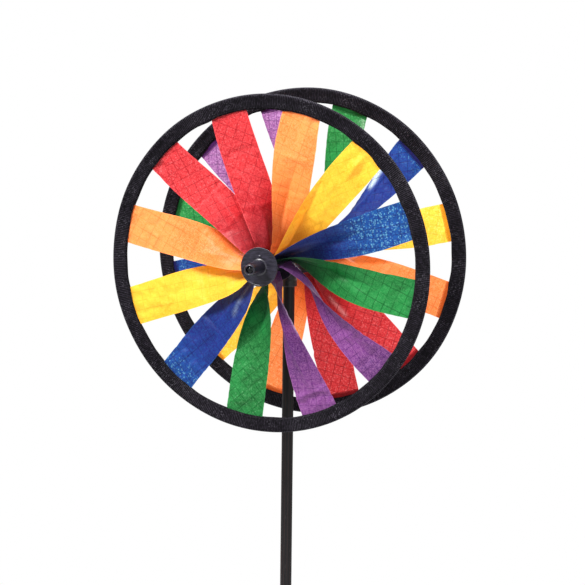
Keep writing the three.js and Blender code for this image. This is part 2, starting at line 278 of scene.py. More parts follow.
def grosgrain(name):
    """Black ribbed tape. Its uv runs round the hoop and across the tape, in metres."""
    s = Shader(name)
    tape = s.uv("tape")
    u, _, _ = s.split(tape)
    jitter = s.times(s.noise(tape, 420, 1), 0.5 * MM)
    rib = s.math("SINE", s.times(s.plus(u, jitter), 2 * math.pi / RIB_PITCH))
    fluff = s.noise(s.scaled(tape, (900, 300, 1)), 1.0, 3, 0.7)
    colour = s.mix(s.ramp(fluff, 0.42, 0.66), rgb(4, 3, 6), rgb(36, 31, 40))
    # Painted shade in the grooves between the ribs
    colour = s.mix(s.ramp(rib, -0.9, 0.6, 0.95, 0.0), colour, rgb(0, 0, 1))
    colour = s.mix(s.ramp(s.noise(tape, 35, 2), 0.4, 0.7, 0.0, 0.2), colour, rgb(20, 17, 23))
    # Painted highlight on the rib crests
    crest_highlight = s.times(s.ramp(rib, 0.4, 1.0), s.ramp(s.noise(tape, 18, 2), 0.4, 0.65))
    colour = s.mix(s.times(crest_highlight, 0.2), colour, rgb(88, 84, 94))

    # Painted highlight: paler ribs where the tape bends round the outside of the wire
    x, _, z = s.split(s.position())
    up = s.minus(z, AXLE_Z)
    radius = s.math("SQRT", s.plus(s.times(x, x), s.times(up, up)))
    rim = s.ramp(radius, WHEEL_RADIUS - 1.5 * MM, WHEEL_RADIUS - 0.4 * MM)
    rim = s.times(rim, s.ramp(rib, -0.6, 0.4))
    colour = s.mix(s.times(rim, s.ramp(fluff, 0.35, 0.6, 0.1, 0.5)), colour, rgb(84, 80, 90))

    lint = s.ramp(s.cells(tape, 0.82 * MM, 0.82 * MM), 0.82, 1.0)
    lint = s.times(lint, s.ramp(s.noise(tape, 60, 2), 0.35, 0.7))
    colour = s.mix(s.times(lint, 0.24), colour, rgb(118, 114, 124))
    normal = s.bump(s.plus(rib, s.times(fluff, 0.8)), 0.55, 0.22 * MM)
    return s.finish(s.principled(
        Base_Color=colour, Roughness=0.8, Normal=normal, Specular_IOR_Level=0.06,
        Sheen_Weight=0.02, Sheen_Roughness=0.5,
    ))


def moulded(name, colour, light, roughness, grain=0.18, streak=(1, 1, 1)):
    """Moulded plastic: a fine grain, faint flow streaks and paler worn edges."""
    s = Shader(name)
    place = s.position()
    flow = s.noise(s.scaled(place, streak), 160, 3)
    grit = s.noise(place, 2600, 2)
    edge = s.node("ShaderNodeNewGeometry").outputs["Pointiness"]
    tint = s.mix(s.ramp(flow, 0.35, 0.7, 0.0, 0.5), colour, light)
    tint = s.mix(s.ramp(edge, 0.515, 0.6, 0.0, 0.6), tint, light)
    mottle = s.noise(s.scaled(place, streak), 520, 2)
    tint = s.mix(s.ramp(mottle, 0.35, 0.6, 0.6, 0.0), tint, s.mix(0.7, colour, BLACK))
    rough = s.ramp(flow, 0.3, 0.7, roughness - 0.08, roughness + 0.1)
    normal = s.bump(grit, grain, 0.12 * MM)
    return s.finish(s.principled(Base_Color=tint, Roughness=rough, Normal=normal, Specular_IOR_Level=0.5))


def pole_finish(name):
    """Black pole with brown streaks along it and a satin face."""
    s = Shader(name)
    place = s.position()
    x, y, z = s.split(place)
    angle = s.math("ARCTAN2", y, x)
    unrolled = s.node("ShaderNodeCombineXYZ", X=s.times(angle, 3.0), Y=0.0, Z=s.times(z, 7.0)).outputs[0]
    grain = s.noise(unrolled, 3.2, 3, 0.6)
    bands = s.math("SINE", s.times(angle, 11.0))
    streaks = s.times(s.ramp(bands, 0.5, 0.98), s.ramp(grain, 0.3, 0.62))
    colour = s.mix(s.times(streaks, 0.75), rgb(4, 3, 5), rgb(44, 20, 18))
    scuff = s.ramp(s.noise(s.scaled(place, (900, 900, 120)), 1.0, 2), 0.66, 0.78)
    colour = s.mix(s.times(scuff, 0.3), colour, rgb(80, 74, 76))
    normal = s.bump(s.plus(streaks, s.noise(place, 1500, 2)), 0.2, 0.15 * MM)
    rough = s.ramp(grain, 0.3, 0.7, 0.42, 0.58)
    return s.finish(s.principled(Base_Color=colour, Roughness=rough, Normal=normal, Specular_IOR_Level=0.3))


def drawn_steel(name):
    """Bare steel with fine lines along Y."""
    s = Shader(name)
    place = s.position()
    drawn = s.noise(s.scaled(place, (2200, 120, 2200)), 1.0, 3)
    colour = s.mix(drawn, rgb(120, 121, 124), rgb(178, 180, 184))
    rough = s.ramp(drawn, 0.3, 0.7, 0.25, 0.45)
    normal = s.bump(drawn, 0.2, 0.05 * MM)
    return s.finish(s.principled(Base_Color=colour, Metallic=1.0, Roughness=rough, Normal=normal))


def thread_finish(name, colour, light):
    """Matt sewing thread."""
    s = Shader(name)
    twist = s.noise(s.position(), 2200, 2)
    tint = s.mix(s.ramp(twist, 0.35, 0.65), colour, light)
    normal = s.bump(twist, 0.4, 0.1 * MM)
    return s.finish(s.principled(Base_Color=tint, Roughness=0.7, Normal=normal, Specular_IOR_Level=0.15))


CLOTH_LOOKS = {  # base, deep, sheen, spark, glint, lines
    "red": (
        (0.52, 0.013, 0.019, 1), (0.36, 0.005, 0.012, 1), (0.80, 0.085, 0.09, 1), (1, 0.45, 0.45, 1),
        0.26, 0.68,
    ),
    "orange": (
        (0.95, 0.26, 0.05, 1), (0.88, 0.17, 0.02, 1), (1.0, 0.40, 0.15, 1), (1, 0.7, 0.4, 1),
        0.35, 0.45,
    ),
    "yellow": (
        (0.93, 0.50, 0.03, 1), (0.90, 0.36, 0.012, 1), (0.98, 0.62, 0.08, 1), (1, 0.85, 0.3, 1),
        0.3, 0.3,
    ),
    "green": (lit(34, 158, 74), lit(6, 108, 42), lit(84, 190, 108), (0.45, 0.9, 0.5, 1), 0.3, 0.75),
    "blue": (lit(44, 54, 156), lit(38, 32, 122), lit(38, 118, 200), lit(130, 205, 240), 0.85, 0.6),
    "purple": (lit(134, 58, 150), lit(92, 30, 118), lit(206, 140, 204), (0.8, 0.55, 0.82, 1), 0.2, 0.52),
}
CLOTH = {colour: ripstop(f"cloth_{colour}", *look) for colour, look in CLOTH_LOOKS.items()}
TAPE = grosgrain("binding_tape")
THREAD = thread_finish("binding_thread", rgb(8, 7, 10), rgb(40, 37, 44))
HUB = moulded("hub_plastic", rgb(17, 15, 25), rgb(58, 53, 72), 0.36, 0.35, (1, 1, 6))
# Painted shade: the tee is a darker copy of the hub's plastic, for where it sits in shade between the wheels
SHADED_TEE = moulded("tee_plastic_painted_shade", rgb(9, 8, 12), rgb(30, 27, 36), 0.42, 0.3, (1, 6, 1))
CAP = moulded("cap_plastic", rgb(10, 9, 12), rgb(36, 34, 40), 0.2, 0.06)
STAKE = moulded("stake_plastic", rgb(20, 19, 23), rgb(48, 46, 52), 0.45, 0.25, (1, 1, 0.2))
POLE = pole_finish("pole_black")
STEEL = drawn_steel("spring_steel")
NYLON = moulded("nylon", rgb(226, 222, 208), rgb(244, 242, 234), 0.45, 0.15)


# ---- mesh helpers

def piece(name, vertices, faces, material, uvs=None, smooth=True):
    """A mesh object. uvs maps a layer's name to one pair for each vertex."""
    mesh = bpy.data.meshes.new(name)
    mesh.from_pydata([tuple(v) for v in vertices], [], faces)
    for layer_name, pairs in (uvs or {}).items():
        layer = mesh.uv_layers.new(name=layer_name)
        loops = np.empty(len(mesh.loops), int)
        mesh.loops.foreach_get("vertex_index", loops)
        layer.data.foreach_set("uv", np.asarray(pairs, float)[loops].ravel())
    mesh.polygons.foreach_set("use_smooth", [smooth] * len(mesh.polygons))
    mesh.materials.append(material)
    mesh.update()
    obj = bpy.data.objects.new(name, mesh)
    bpy.context.scene.collection.objects.link(obj)
    return obj


def rounded(points, radius, closed=True):
    """The same outline with each corner eased by a short curve."""
    steps = 3
    count = len(points)
    result = []
    for i, point in enumerate(points):
        if not closed and i in (0, count - 1):
            result.append(tuple(point))
            continue
        corner = Vector(point)
        before = Vector(points[i - 1]) - corner
        after = Vector(points[(i + 1) % count]) - corner
        start = corner + before.normalized() * min(radius, before.length * 0.45)
        end = corner + after.normalized() * min(radius, after.length * 0.45)
        for k in range(steps + 1):
            t = k / steps
            eased = start * (1 - t) ** 2 + corner * 2 * t * (1 - t) + end * t ** 2
            result.append(tuple(eased))
    return result


def turned(name, outline, material, centre=(0, 0, 0), axis="Z", outward=1, closed=True, segments=96):
    """A solid of revolution. outline holds (radius, height) pairs; height runs along the axis times
    outward. A closed outline is joined end to start."""
    vertices, rings = [], []
    for radius, height in outline:
        ring = []
        for k in range(1 if radius < 1e-7 else segments):
            angle = 2 * math.pi * k / segments
            x, y = radius * math.cos(angle), radius * math.sin(angle)
            place = (x, y, height * outward) if axis == "Z" else (x, height * outward, y)
            ring.append(len(vertices))
            vertices.append(Vector(place) + Vector(centre))
        rings.append(ring)
    if closed:
        rings.append(rings[0])
    faces = []
    for low, high in zip(rings, rings[1:]):
        for k in range(segments):
            n = (k + 1) % segments
            loop = [low[k % len(low)], low[n % len(low)], high[n % len(high)], high[k % len(high)]]
            loop = list(dict.fromkeys(loop))
            if len(loop) > 2:
                faces.append(loop)
    obj = piece(name, vertices, faces, material)
    face_out(obj)
    crisp = obj.modifiers.new("crisp", "WEIGHTED_NORMAL")
    crisp.keep_sharp = True
    return obj


def face_out(obj):
    """Turns every face outward."""
    work = bmesh.new()
    work.from_mesh(obj.data)
    bmesh.ops.recalc_face_normals(work, faces=work.faces)
    work.to_mesh(obj.data)
    work.free()


def baked(obj):
    """Replaces the object's mesh by what its modifiers make of it."""
    graph = bpy.context.evaluated_depsgraph_get()
    shaped = obj.evaluated_get(graph)
    mesh = bpy.data.meshes.new_from_object(shaped, preserve_all_data_layers=True, depsgraph=graph)
    obj.modifiers.clear()
    obj.data = mesh
    return obj


def joined(name, parts):
    """One object made of several meshes, which keep their materials."""
    with bpy.context.temp_override(active_object=parts[0], selected_editable_objects=parts):
        bpy.ops.object.join()
    parts[0].name = name
    parts[0].data.name = name
    return parts[0]


def fused(obj, voxel, smoothing):
    """Overlapping shells become one moulded body with eased corners."""
    remesh = obj.modifiers.new("fuse", "REMESH")
    remesh.mode = "VOXEL"
    remesh.voxel_size = voxel
    ease = obj.modifiers.new("ease", "SMOOTH")
    ease.factor = 0.5
    ease.iterations = smoothing
    baked(obj)
    obj.data.polygons.foreach_set("use_smooth", [True] * len(obj.data.polygons))
    return obj


def drilled(obj, drill):
    """Takes the drill's shape out of the object."""
    cut = obj.modifiers.new("cut", "BOOLEAN")
    cut.operation = "DIFFERENCE"
    cut.object = drill
    baked(obj)
    bpy.data.objects.remove(drill)
    obj.modifiers.new("crisp", "WEIGHTED_NORMAL")


def mount(obj, body, slot_name, *nodes):
    """Fixes the piece to its body and hides the CAD nodes that it stands in for."""
    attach(obj, body)
    if nodes:
        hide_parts(*nodes)


# ---- blades

BLADE_ROOT = 8.6 * MM
BLADE_END = WHEEL_RADIUS - BINDING_WIDTH + BLADE_TUCK
HUB_SPAN = 39.6 * MM  # a blade's width at the hub, along the axle
RIM_SPAN = 35 * MM  # and at the binding
SAG = 0.3 * MM
PLEAT_PLACE = 0.915
ALONG, ACROSS = 60, 20  # faces along and across a blade
HEM_ROWS = 5


def hang(**changes):
    """How one blade hangs. Angles in degrees, anticlockwise seen from the front; lengths in millimetres.
    Places along a blade run from 0 at the hub to 1 at the rim, and places across it from the clockwise edge
    (0) to the anticlockwise edge (1).

    lean: how far its outer end stands round from its place. swirl: how far its root is dragged round.
    drag: how much further round its clockwise edge is pulled at the root, where that is next to the pole.
    bow: sideways bulge of its inner half. spread, twist: how soon it opens to its full width, and how soon
    it leaves the direction of the axle. width: how wide it is when flat.
    fold: depth of its long crease, away from the viewer when above 0. crease: where across the blade it
    starts and ends. reach: how far out it runs.
    pleat: place across and depth of a pucker near the binding. pleat_at: its place along.
    ripple: height of the small waves. grid: turn of the cloth's grid.
    shine: how far out the painted sheen on the weave starts, and how strong it is. dusk: how dark the painted
    shade on its root is.
    gleam: a painted highlight along a fold or edge: its start and end (along, across), strength and width.
    """
    plain = {
        "lean": 0.0, "swirl": 0.0, "drag": 0.0, "bow": 0.0, "spread": 3.2, "twist": 2.5, "width": 36.0,
        "fold": 5.0, "crease": (0.5, 0.5), "reach": 0.9, "pleat": (0.5, 0.0), "pleat_at": PLEAT_PLACE,
        "ripple": 0.5, "grid": 40.0, "shine": (0.4, 0.35), "dusk": 0.35, "gleam": None,
    }
    return SimpleNamespace(**{**plain, **changes})


FRONT_BLADES = [
    hang(lean=0.5, swirl=8, bow=0.5, fold=7, crease=(0.3, 0.6), reach=0.7, pleat=(0.3, 0.8),
         shine=(0.38, 1.0), dusk=0.55, grid=8),
    hang(lean=-0.9, swirl=-22, fold=9, crease=(0.42, 1.0), reach=0.72, pleat=(0.5, -3.2), pleat_at=0.83,
         shine=(0.3, 0.3), grid=25),
    hang(lean=-1.5, swirl=-34, bow=-4.5, fold=10, crease=(0.75, 0.45), reach=0.66, pleat=(0.15, 1.8),
         shine=(0.45, 0.5), dusk=0.6, grid=12, width=39),
    hang(lean=-2.5, swirl=-10, bow=-6, fold=-9, crease=(0.5, 0.62), reach=0.7, shine=(0.3, 0.55), grid=35,
         spread=4.2),
    hang(lean=-1.5, swirl=4, bow=-7, fold=-8, crease=(0.55, 0.35), reach=0.55, pleat=(0.78, 2.4),
         shine=(0.3, 0.6), grid=20, spread=4.2),
    hang(lean=-1.4, swirl=18, bow=-4, fold=-7, crease=(0.5, 0.75), reach=0.45, pleat=(0.4, 0.4),
         shine=(0.3, 0.4), dusk=0.1, grid=15, spread=4.6),
    hang(lean=0.3, swirl=14, bow=-1, fold=-8, crease=(0.5, 0.45), reach=0.42, shine=(0.1, 0.3), dusk=0.15,
         grid=5, spread=5.4, ripple=0.3),
    hang(lean=1.7, swirl=4, fold=-7, crease=(0.4, 0.55), reach=0.5, pleat=(0.55, 1.6), shine=(0.68, 0.9),
         gleam=((0.1, 0.55), (0.34, 0.72), 0.3, 2.6), grid=10, spread=4.8),
    hang(lean=2.2, swirl=4, fold=11, crease=(0.42, 0.6), reach=0.7, pleat=(0.45, 1.4), shine=(0.3, 0.5),
         grid=42, spread=5.4),
    hang(lean=2.7, swirl=18, bow=-2, fold=-6, crease=(0.35, 0.6), reach=0.95, pleat=(0.5, -1.2),
         shine=(0.5, 0.4), gleam=((0.14, 0.96), (0.42, 1.0), 0.55, 2.6), grid=15, twist=2.0, spread=1.7,
         width=35),
    hang(lean=2.6, swirl=50, bow=1, fold=6, crease=(0.4, 0.6), reach=0.95, pleat=(0.6, 1.2),
         shine=(0.3, 0.3), drag=22, dusk=0.5, grid=12, twist=1.6, spread=1.5, width=34),
    hang(lean=1.5, swirl=30, bow=1, fold=9, crease=(0.35, 0.7), reach=0.9, pleat=(0.6, -1.0),
         shine=(0.4, 0.4), dusk=0.75, drag=14, grid=14, spread=3.6),
]
REAR_BLADES = [
    hang(fold=5, bow=2, crease=(0.4, 0.6), shine=(0.2, 1.0), grid=20, spread=2.2),
    hang(fold=7, bow=-5, crease=(0.3, 0.8), shine=(0.74, 0.9), gleam=((0.58, 0.85), (0.72, 0.98), 1.4, 6),
         grid=38, twist=1.8, spread=1.4),
    hang(lean=-0.2, bow=-5, fold=6, crease=(0.3, 0.2), shine=(0.55, 0.6),
         gleam=((0.84, 0.02), (0.95, 0.12), 0.3, 3), grid=72, spread=2.0, pleat=(0.25, -2.2)),
    hang(fold=7, crease=(0.3, 0.25), shine=(0.3, 1.4), grid=14, twist=1.6, spread=1.3),
    hang(lean=1.2, bow=3, fold=-5, crease=(0.5, 0.7), shine=(0.3, 1.6), grid=40, spread=2.8),
    hang(fold=5, crease=(0.5, 0.4), shine=(0.6, 0.6), grid=66, spread=2.8),
    hang(fold=-6, crease=(0.4, 0.6), shine=(0.6, 0.7), grid=22, spread=3.0, pleat=(0.5, 1.6)),
    hang(fold=5, bow=2, crease=(0.6, 0.4), shine=(0.1, 1.0), grid=50, spread=2.6),
    hang(fold=-7, crease=(0.3, 0.6), shine=(0.2, 0.9), grid=12, spread=2.6, pleat=(0.3, 1.4)),
    hang(fold=6, crease=(0.7, 0.4), shine=(0.15, 0.85), grid=28, spread=3.2),
    hang(fold=-6, bow=-3, crease=(0.2, 0.8), reach=0.6, shine=(0.3, 0.85),
         gleam=((0.27, 0.18), (0.42, 0.2), 0.45, 3), grid=60, spread=4.0),
    hang(fold=6, bow=3, crease=(0.5, 0.3), shine=(0.4, 0.7), grid=8, spread=2.4),
]


def eased(value):
    value = min(1.0, max(0.0, value))
    return value * value * (3 - 2 * value)


def directions(angle):
    """The directions away from the axle and anticlockwise round it."""
    return Vector((math.cos(angle), 0, math.sin(angle))), Vector((-math.sin(angle), 0, math.cos(angle)))


def gleam_at(blade, t, x):
    """How strongly the blade's painted highlight along a fold or edge shows at this place."""
    if blade.gleam is None:
        return 0.0
    start, end, strength, width = blade.gleam
    size = (BLADE_END - BLADE_ROOT, RIM_SPAN)
    a, b, here = (Vector((spot[0] * size[0], spot[1] * size[1])) for spot in (start, end, (t, x)))
    run = b - a
    share = min(1.0, max(0.0, (here - a).dot(run) / run.length_squared))
    return strength * max(0.0, 1 - (here - a - run * share).length / (width * MM))


def blade_sheet(wheel, number, colour, blade):
    """The strip from the hub to the binding: along the axle at the hub, in the hoop's plane at the rim."""
    dice = random.Random(number + (0 if wheel == "front" else 20))
    phases = [dice.uniform(0, 2 * math.pi) for _ in range(4)]
    angle = FIRST_BLADE[wheel] + BLADE_PITCH * (number - 1)
    axial = Vector((0, OUTWARD[wheel], 0))
    centre = Vector((0, WHEEL_Y[wheel], AXLE_Z))
    flat_width = blade.width * MM
    grid = math.radians(blade.grid)
    vertices, cloth, span, shine = [], [], [], []
    for i in range(ALONG + 1):
        t = i / ALONG
        radius = BLADE_ROOT + (BLADE_END - BLADE_ROOT) * t
        swirl = blade.swirl * (1 - t) ** 5 * (0.3 + 0.7 * eased(t / 0.06))
        radial, tangent = directions(math.radians(angle + blade.lean * t + swirl))

        # The line straight from edge to edge, and the direction that the cloth rises from it
        edge_width = flat_width + (RIM_SPAN - flat_width) * max(0.0, (t - 0.75) / 0.25)
        axial_part = HUB_SPAN * (1 - t) ** blade.twist
        flat_part = edge_width * (1 - (1 - t) ** blade.spread)
        chord = tangent * flat_part + axial * axial_part
        length = chord.length
        chord.normalize()
        lift = tangent * (axial_part / length) - axial * (flat_part / length)

        # The long crease, which takes up the width that the chord lacks
        gathered = 0.5 * math.sqrt(max(0.0, edge_width ** 2 - length ** 2))
        run = min(1.0, t / blade.reach)
        apex = blade.crease[0] + (blade.crease[1] - blade.crease[0]) * run
        apex = min(0.97, max(0.03, apex))
        depth = min(abs(blade.fold) * MM, gathered + 1.5 * MM * (1 - t), 0.16 * radius) * (1 - run ** 3)
        depth *= min(1.0, 2 * apex, 2 * (1 - apex)) * math.copysign(1, blade.fold)

        # The pucker near the binding, wider when it lies further in
        pleat_length = 0.035 + 0.5 * (PLEAT_PLACE - blade.pleat_at)
        pucker = math.exp(-((t - blade.pleat_at) / pleat_length) ** 2)
        pucker *= min(1.0, max(0.0, (0.958 - t) / 0.02))

        bend = blade.bow * MM * 6.75 * t * (1 - t) ** 2
        spine = radial * radius + tangent * bend - Vector((0, 0, SAG * math.sin(math.pi * t)))
        # Painted light for the material: the painted sheen on the weave, less the painted shade on the root
        light = blade.shine[1] * eased((t - blade.shine[0] + 0.05) / 0.35)
        light -= blade.dusk * (1 - eased((t - 0.06) / 0.36))
        for j in range(ACROSS + 1):
            x = j / ACROSS
            ramp = x / apex if x < apex else (1 - x) / (1 - apex)
            rise = depth * (ramp - 0.1 * math.sin(math.pi * ramp) ** 2)
            rise += blade.pleat[1] * MM * pucker * max(0.0, 1 - abs(x - blade.pleat[0]) / 0.16)
            fine = sum(
                math.sin((n + 2) * math.pi * x + phases[n] + 2.6 * t * (n + 1)) for n in range(4)
            ) * blade.ripple * MM * 0.5 * math.sin(math.pi * x) * (1 - t) ** 0.5 * min(1, t * 8)
            place = spine + chord * ((x - 0.5) * length) + lift * (rise + fine)
            pull = math.radians(blade.drag) * (1 - x) * (1 - t) ** 7
            vertices.append(centre + Matrix.Rotation(-pull, 3, "Y") @ place)
            u, v = radius, (x - 0.5) * flat_width
            cloth.append((u * math.cos(grid) - v * math.sin(grid), u * math.sin(grid) + v * math.cos(grid)))
            span.append((t, x))
            shine.append((light, gleam_at(blade, t, x)))
    row = ACROSS + 1
    faces = [
        (i * row + j, i * row + j + 1, (i + 1) * row + j + 1, (i + 1) * row + j)
        for i in range(ALONG) for j in range(ACROSS)
    ]
    uvs = {"cloth": cloth, "span": span, "shine": shine}
    obj = piece(f"cloth_{wheel}_blade_{number:02d}_{colour}", vertices, faces, CLOTH[colour], uvs)
    pins = obj.vertex_groups.new(name="pins")
    for i in range(ALONG + 1):
        held = i / ALONG < 0.045 or i / ALONG > 0.945
        pins.add(list(range(i * row, (i + 1) * row)), 1.0 if held else 0.12, "REPLACE")
    return obj


def add_hem(obj, outward):
    """The turned-back end of a blade: a second layer on its inner side, running into the binding."""
    row = ACROSS + 1
    first = ALONG - HEM_ROWS
    mesh = bmesh.new()
    mesh.from_mesh(obj.data)
    mesh.verts.ensure_lookup_table()
    cloth, span, shine = (mesh.loops.layers.uv[name] for name in ("cloth", "span", "shine"))
    flat = {}
    for face in mesh.faces:
        for loop in face.loops:
            flat[loop.vert.index] = (tuple(loop[cloth].uv), tuple(loop[span].uv))
    spots = [vert.co.copy() for vert in mesh.verts]
    layer = {}
    for i in range(first, ALONG + 1):
        lift = (0.12 if i == first else 0.3) * MM
        for j in range(row):
            layer[i, j] = mesh.verts.new(spots[i * row + j] - Vector((0, outward * lift, 0)))
    for i in range(first, ALONG):
        for j in range(ACROSS):
            corners = [(i, j), (i, j + 1), (i + 1, j + 1), (i + 1, j)]
            face = mesh.faces.new([layer[corner] for corner in corners])
            face.smooth = True
            for loop, (a, b) in zip(face.loops, corners):
                uv, (t, x) = flat[a * row + b]
                loop[cloth].uv = uv
                loop[span].uv = (t, x + 2)  # marks the hem for the cloth's material
                loop[shine].uv = (0, 0)
    mesh.to_mesh(obj.data)
    mesh.free()


def settle(sheets):
    """Lets the blades hang as cloth with a little slack, then keeps the shape and drops the simulation."""
    frames = 16
    scene = bpy.context.scene
    scene.frame_start, scene.frame_end = 1, frames
    for obj in sheets:
        cloth = obj.modifiers.new("hang", "CLOTH")
        settings = cloth.settings
        settings.quality = 6
        settings.mass = 0.05
        settings.tension_stiffness = 25
        settings.compression_stiffness = 25
        settings.shear_stiffness = 8
        settings.bending_stiffness = 0.03
        settings.air_damping = 2
        settings.vertex_group_mass = "pins"
        settings.pin_stiffness = 1
        settings.shrink_min = -0.012
        settings.effector_weights.gravity = 0.08
        cloth.point_cache.frame_start = 1
        cloth.point_cache.frame_end = frames
    for number in range(1, frames + 1):
        scene.frame_set(number)
    for obj in sheets:
        baked(obj)
    scene.frame_set(1)


def build_blades():
    sheets = []
    for wheel, blades in zip(WHEELS, (FRONT_BLADES, REAR_BLADES)):
        nodes = sorted(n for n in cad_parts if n.startswith(f"{wheel}_blade_"))
        for number, (node, blade) in enumerate(zip(nodes, blades), 1):
            colour = node.rsplit("_", 1)[1]
            sheets.append((blade_sheet(wheel, number, colour, blade), wheel, node, colour))
    settle([entry[0] for entry in sheets])
    for obj, wheel, node, colour in sheets:
        add_hem(obj, OUTWARD[wheel])
        fine = obj.modifiers.new("fine", "SUBSURF")
        fine.levels = fine.render_levels = 1
        mount(obj, f"{wheel}_wheel", f"cloth_{colour}", node)


# ---- binding

BINDING_STEPS = 360
SEAM_ANGLE = {"front": -46, "rear": 160}  # degrees
STITCHES = 300


def waviness(dice, waves, size):
    """A smooth closed random wave, as a function of the angle."""
    terms = [(dice.randint(*waves), dice.uniform(0, 2 * math.pi), dice.uniform(0.4, 1)) for _ in range(6)]
    scale = size / sum(term[2] for term in terms) * 2
    return lambda angle: scale * sum(a * math.sin(n * angle + p) for n, p, a in terms)


def build_binding(wheel):
    """Tape folded over the wire: a closed section swept round, with its two inner edges a little uneven."""
    dice = random.Random(7 if wheel == "front" else 8)
    smooth_wave = waviness(dice, (5, 40), 0.3 * MM)
    corners = []
    for k in range(24):
        place = FIRST_BLADE[wheel] + BLADE_PITCH * (k // 2) + (6.6 if k % 2 else -6.6)
        corners.append((place, dice.uniform(-0.35, 1.0) * MM))
    outer_wave = waviness(dice, (3, 14), 0.14 * MM)
    face_waves = [waviness(dice, (6, 30), 0.22 * MM) for _ in range(2)]
    thickness = 0.45 * MM
    gap = 1 * MM  # from the hoop's plane to each face
    bulge = 2.05 * MM
    wire = WHEEL_RADIUS - 2.3 * MM
    inner = WHEEL_RADIUS - BINDING_WIDTH

    def inner_wave(angle):
        """The edge is pulled in a little at the corners of each blade."""
        degrees = math.degrees(angle)
        pull = sum(size * max(0.0, 1 - abs((degrees - at + 180) % 360 - 180) / 4.5) for at, size in corners)
        return smooth_wave(angle) - pull

    def section(angle):
        """(radius, y) pairs: the outside from one inner edge to the other, then the inside back again."""
        edge = inner + inner_wave(angle)
        flat = edge + 4 * MM
        neck = wire - 3.2 * MM
        crown = wire + outer_wave(angle)
        low, high = (gap + wave(angle) for wave in face_waves)
        outside = [(edge, -low), (flat, -low), (neck, -low - 0.15 * MM)]
        for k in range(9):
            a = math.radians(-112 + 28 * k)
            outside.append((crown + bulge * 1.18 * math.cos(a), bulge * 1.12 * math.sin(a)))
        outside += [(neck, high + 0.15 * MM), (flat, high), (edge, high)]
        inside = [(edge, high - thickness), (flat, high - thickness), (neck, high - 0.3 * MM)]
        for k in range(5):
            a = math.radians(110 - 55 * k)
            inside.append((crown + bulge * 0.85 * math.cos(a), bulge * 0.8 * math.sin(a)))
        inside += [(neck, -low + 0.3 * MM), (flat, -low + thickness), (edge, -low + thickness)]
        return outside + inside

    vertices, uvs, faces = [], [], []
    for k in range(BINDING_STEPS):
        angle = 2 * math.pi * k / BINDING_STEPS
        outline = section(angle)
        travel = 0.0
        for i, (radius, y) in enumerate(outline):
            if i:
                travel += math.dist(outline[i - 1], outline[i])
            vertices.append((radius * math.cos(angle), WHEEL_Y[wheel] + y, AXLE_Z + radius * math.sin(angle)))
            uvs.append((angle * WHEEL_RADIUS, travel))
    size = len(outline)
    for k in range(BINDING_STEPS):
        n = (k + 1) % BINDING_STEPS
        for i in range(size):
            m = (i + 1) % size
            faces.append((k * size + i, k * size + m, n * size + m, n * size + i))
    obj = piece(f"tape_{wheel}_binding", vertices, faces, TAPE, {"tape": uvs})
    fix_seam_uv(obj, 2 * math.pi * WHEEL_RADIUS)
    face_out(obj)
    mount(obj, f"{wheel}_wheel", "binding_tape", f"{wheel}_hoop_binding")


def fix_seam_uv(obj, circumference):
    """Where a face joins the end of the circle to its start, the start's u goes on past the end."""
    layer = obj.data.uv_layers.active.data
    for face in obj.data.polygons:
        us = [layer[i].uv[0] for i in face.loop_indices]
        if max(us) - min(us) > circumference / 2:
            for i in face.loop_indices:
                if layer[i].uv[0] < circumference / 2:
                    layer[i].uv[0] += circumference


def stitch_run(places, length, thick):
    """Short rounded stitches. Each place is (middle, direction, out)."""
    sides = 6
    profile = ((-0.5, 0.35), (-0.34, 0.9), (0, 1.0), (0.34, 0.9), (0.5, 0.35))  # place along, thickness
    vertices, faces = [], []
    for middle_point, direction, out in places:
        side = direction.cross(out).normalized()
        start = len(vertices)
        for along, size in profile:
            lift = out * (thick * (0.55 if abs(along) < 0.4 else 0.0))
            ring_centre = middle_point + direction * (along * length) + lift
            for k in range(sides):
                a = math.pi * k / 3
                vertices.append(ring_centre + (side * math.cos(a) + out * math.sin(a)) * thick * size)
        for r in range(len(profile) - 1):
            for k in range(sides):
                n = (k + 1) % sides
                a, b = start + r * sides, start + (r + 1) * sides
                faces.append((a + k, a + n, b + n, b + k))
        last = start + (len(profile) - 1) * sides
        faces.append([start + k for k in range(sides)][::-1])
        faces.append([last + k for k in range(sides)])
    return vertices, faces


def build_stitching(wheel):
    """A row of stitches near the inner edge of each face, and a cross-stitched seam where the tape's ends
    overlap."""
    places = []
    row = WHEEL_RADIUS - BINDING_WIDTH + 1.7 * MM
    dice = random.Random(31 if wheel == "front" else 32)
    for face in (-1, 1):
        out = Vector((0, face, 0))
        for k in range(STITCHES):
            angle = 2 * math.pi * (k + 0.5 * (face > 0)) / STITCHES + dice.uniform(-0.0012, 0.0012)
            radius = row + dice.uniform(-0.12, 0.12) * MM
            radial, tangent = directions(angle)
            places.append((radial * radius + out * 1.15 * MM, tangent, out))
        for k in range(6):
            radius = WHEEL_RADIUS - 11.4 * MM + k * 1.35 * MM
            for lean in (0.5, -0.5):
                radial, tangent = directions(math.radians(SEAM_ANGLE[wheel]) - lean * 2.4 * MM / radius)
                direction = (radial + tangent * lean * 0.7).normalized()
                places.append((radial * radius + out * 1.35 * MM, direction, out))
    centre = Vector((0, WHEEL_Y[wheel], AXLE_Z))
    places = [(centre + p, d, o) for p, d, o in places]
    vertices, faces = stitch_run(places, 2.3 * MM, 0.17 * MM)
    obj = piece(f"thread_{wheel}_binding", vertices, faces, THREAD)
    face_out(obj)
    mount(obj, f"{wheel}_wheel", "binding_tape")


# ---- hubs

